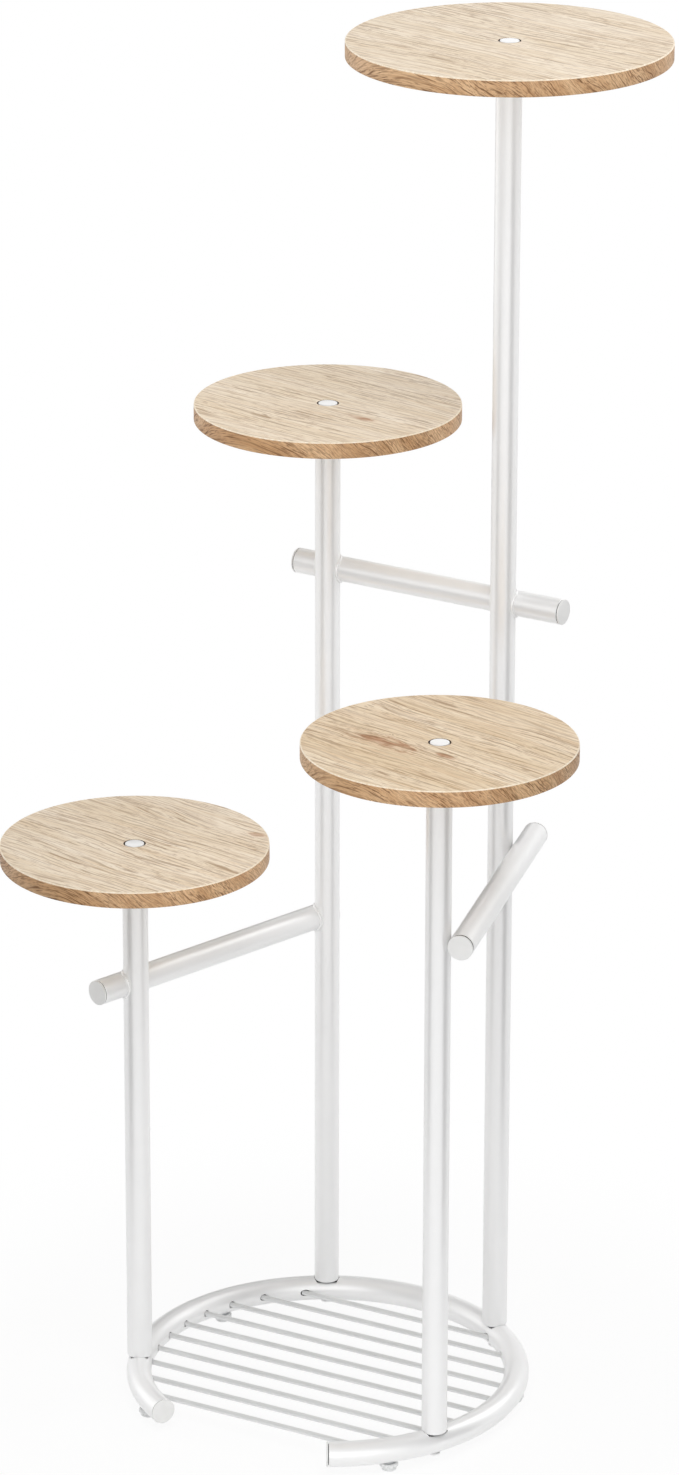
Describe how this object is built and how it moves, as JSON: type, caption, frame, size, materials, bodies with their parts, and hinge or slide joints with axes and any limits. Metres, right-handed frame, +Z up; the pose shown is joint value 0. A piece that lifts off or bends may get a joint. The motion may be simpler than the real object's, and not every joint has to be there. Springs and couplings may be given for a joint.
{
  "type": "plant stand",
  "caption": "Tiered plant stand: round white posts on an open ring base with a wire shelf, each post carrying a round oak-faced tray, tied by short crossbars.",
  "frame": {"origin": "on the floor, under the middle of the stand's outer size in plan", "axes": "+Z up, +Y away from the viewer of the picture, +X to the viewer's right"},
  "size_m": [0.4904, 0.464, 1.0367],
  "materials": {
    "white_coat": "satin white powder coat on steel",
    "white_plastic": "moulded white plastic caps, fine matt",
    "oak_board": "light oak decor face on board, matt, with a darker rim",
    "zinc_steel": "bright zinc plate",
    "foot_plastic": "moulded grey-white plastic, fine matt"
  },
  "bodies": {
    "frame": {"base_ring": "white_coat", "ring_cap_front": "white_plastic", "ring_cap_left": "white_plastic", "shelf_wire_01": "white_coat", "shelf_wire_02": "white_coat", "shelf_wire_03": "white_coat", "shelf_wire_04": "white_coat", "shelf_wire_05": "white_coat", "shelf_wire_06": "white_coat", "shelf_wire_07": "white_coat", "shelf_wire_08": "white_coat", "shelf_wire_09": "white_coat", "shelf_wire_10": "white_coat", "post_tall": "white_coat", "post_foot_nut_tall": "zinc_steel", "post_top_nut_tall": "zinc_steel", "post_bolt_tall": "white_coat", "post_back": "white_coat", "post_foot_nut_back": "zinc_steel", "post_top_nut_back": "zinc_steel", "post_bolt_back": "white_coat", "post_front": "white_coat", "post_foot_nut_front": "zinc_steel", "post_top_nut_front": "zinc_steel", "post_bolt_front": "white_coat", "post_left": "white_coat", "post_foot_nut_left": "zinc_steel", "post_top_nut_left": "zinc_steel", "post_bolt_left": "white_coat", "tray_tall": "oak_board", "tray_bolt_tall": "white_coat", "tray_back": "oak_board", "tray_bolt_back": "white_coat", "tray_front": "oak_board", "tray_bolt_front": "white_coat", "tray_left": "oak_board", "tray_bolt_left": "white_coat", "crossbar_upper": "white_coat", "crossbar_upper_cap_1": "white_plastic", "crossbar_upper_cap_2": "white_plastic", "crossbar_lower": "white_coat", "crossbar_lower_cap_1": "white_plastic", "crossbar_lower_cap_2": "white_plastic", "crossbar_side": "white_coat", "crossbar_side_cap_1": "white_plastic", "crossbar_side_cap_2": "white_plastic", "foot_insert_1": "zinc_steel", "foot_insert_2": "zinc_steel", "foot_insert_3": "zinc_steel", "foot_insert_4": "zinc_steel", "foot_insert_5": "zinc_steel"},
    "foot_1": {"levelling_foot_1": "foot_plastic"},
    "foot_2": {"levelling_foot_2": "foot_plastic"},
    "foot_3": {"levelling_foot_3": "foot_plastic"},
    "foot_4": {"levelling_foot_4": "foot_plastic"},
    "foot_5": {"levelling_foot_5": "foot_plastic"}
  },
  "joints": [
    {"name": "foot_1_height", "type": "slide", "parent": "frame", "child": "foot_1", "axis": [0, 0, -1], "range_m": [0, 0.006]},
    {"name": "foot_2_height", "type": "slide", "parent": "frame", "child": "foot_2", "axis": [0, 0, -1], "range_m": [0, 0.006]},
    {"name": "foot_3_height", "type": "slide", "parent": "frame", "child": "foot_3", "axis": [0, 0, -1], "range_m": [0, 0.006]},
    {"name": "foot_4_height", "type": "slide", "parent": "frame", "child": "foot_4", "axis": [0, 0, -1], "range_m": [0, 0.006]},
    {"name": "foot_5_height", "type": "slide", "parent": "frame", "child": "foot_5", "axis": [0, 0, -1], "range_m": [0, 0.006]}
  ]
}
